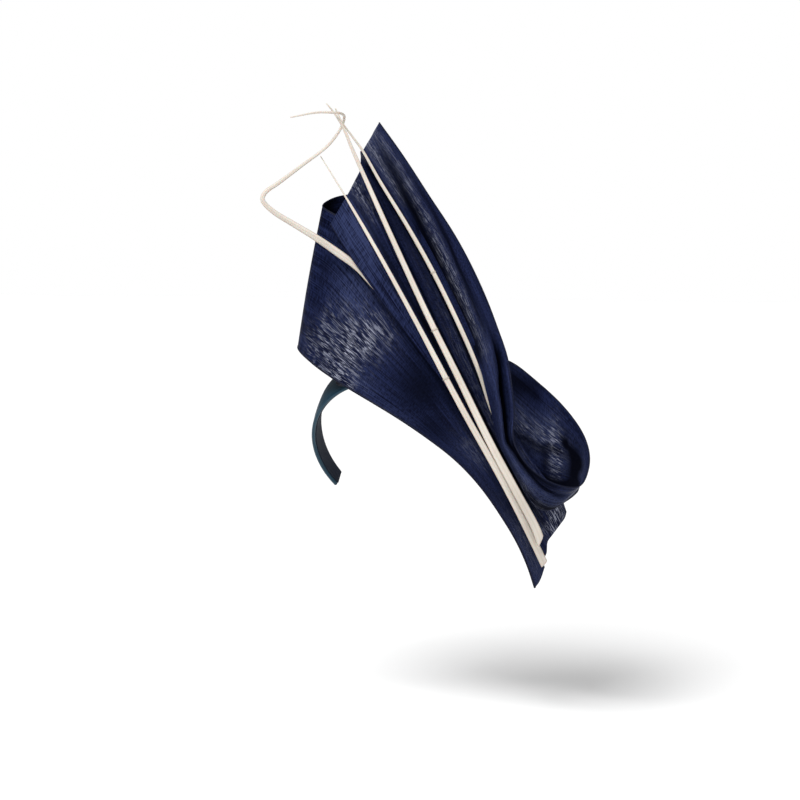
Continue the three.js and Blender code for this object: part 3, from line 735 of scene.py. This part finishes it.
# ------------------------------------------------------------------ quills
QUILLS = {
    "quill_long_left": {
        "line": [[-55, 176, 8], [-35, 143, 18], [-8, 96, 30], [22.5, 40, 39], [58.8, -28.9, 45],
                 [95.4, -93.8, 37.5], [117.2, -136, 22.5], [127, -156, 14]],
        "widths": [[0, 0.8], [0.1, 1.4], [0.13, 2.1], [0.2, 2.9], [0.33, 3.4], [0.42, 3.7],
                   [0.5, 4.4], [0.7, 5.2], [0.8, 5.8], [1, 6.5]],
        "cut": 1.5,
    },
    "quill_long_centre": {
        "line": [[-50, 218, 14.5], [-45, 212, 14], [-37, 200, 13], [-29, 181, 14], [-18, 156, 16.5],
                 [5, 104, 26], [31, 47, 34.5], [54, 0, 42], [81.2, -56.2, 45], [102.2, -95.2, 40.5],
                 [119, -126, 30.5], [123.2, -136.8, 27]],
        "widths": [[0, 1], [0.05, 2], [0.13, 3.1], [0.2, 3.8], [0.35, 4.4], [0.55, 4.9], [0.8, 6.2], [1, 7]],
        "cut": 4.0,
    },
    "quill_long_right": {
        "line": [[-43, 215, 8], [-37, 203, 7.5], [-29, 192, 7], [-21, 181, 7], [-7, 156, 9.5],
                 [16, 118, 14], [37.5, 79, 19.5], [60.5, 31, 24.5], [73.5, 0, 25], [82, -26, 26],
                 [87, -39, 27]],
        "widths": [[0, 1], [0.08, 1.6], [0.25, 2.8], [0.45, 3.5], [0.75, 3.7], [1, 3.3]],
        "cut": 0.0,
    },
    "quill_bent": {
        "line": [[-79, 206, 19], [-57, 210, 19], [-44, 210, 18.5], [-39, 210, 15], [-36, 209, 10],
                 [-36, 206, 3], [-39, 199, 1], [-47, 187, 6], [-56, 178, 12], [-67, 169, 19], [-87, 153, 26],
                 [-99, 144, 27.5], [-101, 139, 28], [-99, 135, 28], [-91, 128, 27], [-76, 119, 24],
                 [-56, 107, 21], [-40, 96, 18], [-24, 84, 19.5], [-10, 68, 22.5], [0, 56, 24]],
        "widths": [[0, 1], [0.1, 2], [0.35, 2.5], [0.52, 3.5], [0.62, 4.5], [0.8, 6.2], [0.9, 5.8], [1, 3.6]],
        "cut": 0.0,
    },
}
QUILL_RINGS = 260
QUILL_SIDES = 20
QUILL_FLATNESS = 0.66
GROOVE_WIDTH = 0.16
GROOVE_DEPTH = 0.10
GROOVE_TINT = 0.25
RIM_SHADE_TINT = 0.8  # how strongly warm painted shade darkens the sides of a shaft
RIM_SHARE = 0.2
CUT_SHARE = 0.03
CUT_RINGS = 6
THREAD_TURNS = 2
THREAD_RINGS = 49
THREAD_SIDES = 8
THREAD_GAP = 0.25
THREAD_RADIUS = 0.22
THREAD_PITCH = 14  # radians of turn for each millimetre along the shaft
THREAD_START = 0.45
TACKS = {
    "quill_tack_left": ("quill_long_left", 0.55),
    "quill_tack_centre": ("quill_long_centre", 0.52),
    "quill_tack_right": ("quill_long_right", 0.55),
    "quill_tack_bent": ("quill_bent", 0.985),
}


def quill_piece(name, quill):
    """A flattened shaft, tapering to a hair at its tip, with a faint groove, a browner groove line and warm
    painted shade along its sides.
    """
    centres = even_line(quill["line"], QUILL_RINGS)
    shares = np.linspace(0, 1, QUILL_RINGS)
    places, values = zip(*quill["widths"])
    half = np.interp(shares, places, values) / 2
    turn = np.linspace(0, 2 * np.pi, QUILL_SIDES, endpoint=False)
    side = np.cos(turn)
    height = np.sin(turn)
    groove = np.exp(-((side / GROOVE_WIDTH) ** 2)) * (height > 0)
    sections = np.stack([
        half[:, None] * side[None, :],
        half[:, None] * (QUILL_FLATNESS * height - GROOVE_DEPTH * groove)[None, :],
    ], axis=-1)
    normals = np.repeat(np.array([[0.0, 0.0, 1.0]]), QUILL_RINGS, axis=0)
    rings = tube_rings(centres, normals, sections)
    along = centres[-1] - centres[-CUT_RINGS]
    along /= np.linalg.norm(along)
    reach = np.clip((shares - 1 + CUT_SHARE) / CUT_SHARE, 0, 1)[:, None] * side[None, :] * quill["cut"]
    rings = rings + reach[..., None] * along
    piece = ring_piece(name, to_row(rings))
    # Painted shade along the shaft's sides, where shafts lie together, and a fainter brown in the groove.
    rim = np.clip((np.abs(side) - 1 + RIM_SHARE) / RIM_SHARE, 0, 1)
    groove_tint_and_side_shade = np.maximum(groove * GROOVE_TINT, rim * RIM_SHADE_TINT)
    mask = np.concatenate([np.repeat(groove_tint_and_side_shade[None], QUILL_RINGS, axis=0).ravel(), [0, 0]])
    add_attribute(piece, "groove", mask)
    return piece


def tack_piece(name, quill, share):
    """A few turns of thread round a quill."""
    centres = even_line(quill["line"], QUILL_RINGS)
    at = int(share * (QUILL_RINGS - 1))
    places, values = zip(*quill["widths"])
    half = np.interp(share, places, values) / 2
    along = centres[at + 1] - centres[at]
    along /= np.linalg.norm(along)
    out = np.array([0, 0, 1.0]) - along * along[2]
    out /= np.linalg.norm(out)
    side = np.cross(along, out)
    turn = np.linspace(0, 2 * np.pi * THREAD_TURNS, THREAD_RINGS)[:, None]
    wide = half + THREAD_GAP
    high = QUILL_FLATNESS * half + THREAD_GAP
    rise = turn / THREAD_PITCH - THREAD_START
    spiral = centres[at] + side * wide * np.cos(turn) + out * high * np.sin(turn) + along * rise
    circle = np.linspace(0, 2 * np.pi, THREAD_SIDES, endpoint=False)
    section = THREAD_RADIUS * np.stack([np.cos(circle), np.sin(circle)], axis=1)
    normals = np.repeat(along[None], len(spiral), axis=0)
    rings = tube_rings(spiral, normals, np.repeat(section[None], len(spiral), axis=0))
    return ring_piece(name, to_row(rings))


def make_quills():
    shaft = quill_material()
    thread = thread_material()
    for name, quill in QUILLS.items():
        finish_piece(quill_piece(name.replace("quill", "shaft"), quill), shaft, name)
    for name, (quill_name, share) in TACKS.items():
        piece = tack_piece(name.replace("tack", "thread"), QUILLS[quill_name], share)
        finish_piece(piece, thread, name)


# ------------------------------------------------------------------ headband and base
def arch_points(angles, sides, heights):
    """Points over the arch in metres, one row of [side, height] points for each angle."""
    angles = np.asarray(angles, float)[:, None]
    nx, nz = np.sin(angles) / BAND_HALF_WIDTH, np.cos(angles) / BAND_DROP
    length = np.hypot(nx, nz)
    x = BAND_HALF_WIDTH * np.sin(angles) + heights * nx / length
    z = BAND_DROP * (np.cos(angles) - 1) + heights * nz / length
    tilt_cos, tilt_sin = math.cos(BAND_TILT), math.sin(BAND_TILT)
    y_row = sides * tilt_cos - z * tilt_sin
    z_row = sides * tilt_sin + z * tilt_cos
    return np.stack([x, y_row, z_row], axis=-1) * MM


def strap_half(angles):
    share = np.abs(angles) / BAND_SWEEP
    return (STRAP_CROWN + (STRAP_TIP - STRAP_CROWN) * share**1.5) / 2


def slab_outline(low, high, corner, dome):
    """A slab's outline with round corners and a domed top: unit sides, sides beyond them, heights."""
    outline = []
    top, bottom = high - corner, low + corner
    for unit, centre, start in ((-1, top, 180), (1, top, 90), (1, bottom, 0), (-1, bottom, -90)):
        for step in range(CORNER_POINTS):
            angle = math.radians(start - 90 * step / (CORNER_POINTS - 1))
            outline.append((unit, math.cos(angle) * corner, centre + math.sin(angle) * corner))
        if start in (180, 0):
            lift = dome if start == 180 else 0.0
            level = high if start == 180 else low
            for step in range(1, SLAB_STEPS):
                share = step / SLAB_STEPS
                outline.append((unit * (1 - 2 * share), 0.0, level + lift * math.sin(math.pi * share)))
    return np.array(outline).T


def swept_slab(name, angles, half, low, high, corner, dome=0.0):
    """A slab bent over the arch, from half its width at each angle and its lower and upper face."""
    units, beyond, heights = slab_outline(low, high, corner, dome)
    sides = units[None, :] * (half[:, None] - corner) + beyond[None, :]
    rings = arch_points(angles, sides, np.repeat(heights[None], len(angles), axis=0))
    return ring_piece(name, rings[:, ::-1])


def make_headband():
    satin, ribbon, buckram = satin_material(), ribbon_material(), buckram_material()
    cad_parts["headband_core"].data.materials.clear()
    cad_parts["headband_core"].data.materials.append(core_material())
    angles = np.linspace(-BAND_SWEEP, BAND_SWEEP, ARCH_STEPS)
    half = strap_half(angles)
    lining = swept_slab("band_ribbon", angles, half - RIBBON_INSET, *RIBBON_FACES, RIBBON_CORNER)
    finish_piece(lining, ribbon, "headband_lining")
    cover = swept_slab("band_satin", angles, half + SATIN_LIP, *SATIN_FACES, SATIN_CORNER, SATIN_DOME)
    finish_piece(cover, satin, "headband_cover")
    make_base(buckram)


def base_section(angles, low, high):
    """Rings over the base pad's oval, between two heights above the arch."""
    share = np.sqrt(np.clip(1 - (angles / BASE_SWEEP) ** 2, 0, 1))
    front = -(BASE_TIP + (BASE_FRONT - BASE_TIP) * share)
    back = BASE_TIP + (BASE_BACK - BASE_TIP) * share
    steps = np.linspace(0, 1, BASE_COLUMNS)
    sides = front[:, None] * (1 - steps) + back[:, None] * steps
    top = high + BASE_DOME * np.sin(np.pi * steps)
    all_sides = np.concatenate([sides, sides[:, ::-1]], axis=1)
    heights = np.concatenate([np.repeat(top[None], len(angles), 0), np.full(sides.shape, low)], axis=1)
    return arch_points(angles, all_sides, heights)


def make_base(buckram):
    angles = np.linspace(-BASE_SWEEP, BASE_SWEEP, BASE_STEPS)
    pad = ring_piece("base_buckram", base_section(angles, *BASE_PAD_FACES)[:, ::-1])
    finish_piece(pad, buckram, "base_pad")
    cover = ring_piece("base_cloth", base_section(angles, *BASE_COVER_FACES)[:, ::-1])
    finish_piece(cover, buckram, "base_cover")


# ------------------------------------------------------------------ floor, lights and camera
VIEW_DISTANCE = 1.65
VIEW_CENTRE = np.array([9.84, -22.95, 0.0])
LENS = 90.6
FLOOR_LEVEL = -0.29  # where a display head that wears the piece would stand
FLOOR_HALF = 9.0
WORLD_SEEN = 1.0  # the world's strength as the camera sees it, and as a light
WORLD_LIGHT = 0.12


def make_floor():
    size, low = FLOOR_HALF, FLOOR_LEVEL
    points = [(-size, -size, low), (size, -size, low), (size, size, low), (-size, size, low)]
    floor = mesh_object("floor", points, [(0, 1, 2, 3)], smooth=False)
    g = Graph("pale_floor")
    spot = g.node("ShaderNodeTexCoord", output=3)
    cloud = g.node("ShaderNodeTexNoise", Vector=spot, Scale=1.5, Detail=2.0)
    colour = g.mix(cloud, (0.93, 0.93, 0.93, 1.0), (0.95, 0.95, 0.95, 1.0))
    floor.data.materials.append(g.surface(colour, 0.9, Specular_IOR_Level=0.1))


def soft_sun(name, direction, spread, strength):
    """A broad, even light from one side: direction is [across, up, out] from the object towards the light."""
    lamp = bpy.data.lights.new(name, "SUN")
    lamp.angle = math.radians(spread)
    lamp.energy = strength
    light = bpy.data.objects.new(name, lamp)
    light.rotation_mode = "QUATERNION"
    light.rotation_quaternion = Vector(to_row(direction)).to_track_quat("Z", "Y")
    bpy.context.scene.collection.objects.link(light)


def make_lights():
    world = bpy.data.worlds.new("studio")
    world.use_nodes = True
    tree = world.node_tree
    background = tree.nodes["Background"]
    background.inputs["Color"].default_value = (1.0, 1.0, 1.0, 1.0)
    path = tree.nodes.new("ShaderNodeLightPath")
    strength = tree.nodes.new("ShaderNodeMapRange")
    strength.inputs["To Min"].default_value = WORLD_LIGHT
    strength.inputs["To Max"].default_value = WORLD_SEEN
    tree.links.new(path.outputs["Is Camera Ray"], strength.inputs["Value"])
    tree.links.new(strength.outputs["Result"], background.inputs["Strength"])
    bpy.context.scene.world = world
    soft_sun("key", [-0.45, 1.0, 0.75], 32, 3.6)
    soft_sun("fill", [0.9, 0.6, 0.6], 60, 0.8)


def make_camera():
    camera = bpy.data.objects.new("camera", bpy.data.cameras.new("camera"))
    camera.data.lens = LENS
    camera.data.sensor_width = 36.0
    camera.data.clip_start, camera.data.clip_end = 0.05, 60.0
    centre = to_row(VIEW_CENTRE)
    camera.location = Vector(centre + FACING[2] * VIEW_DISTANCE)
    camera.rotation_mode = "QUATERNION"
    camera.rotation_quaternion = Vector(-FACING[2]).to_track_quat("-Z", "Y")
    bpy.context.scene.collection.objects.link(camera)
    bpy.context.scene.camera = camera


# ------------------------------------------------------------------ the scene
bpy.context.scene.view_settings.view_transform = "Standard"
make_camera()
make_lights()
make_floor()
make_cloth()
make_quills()
make_headband()
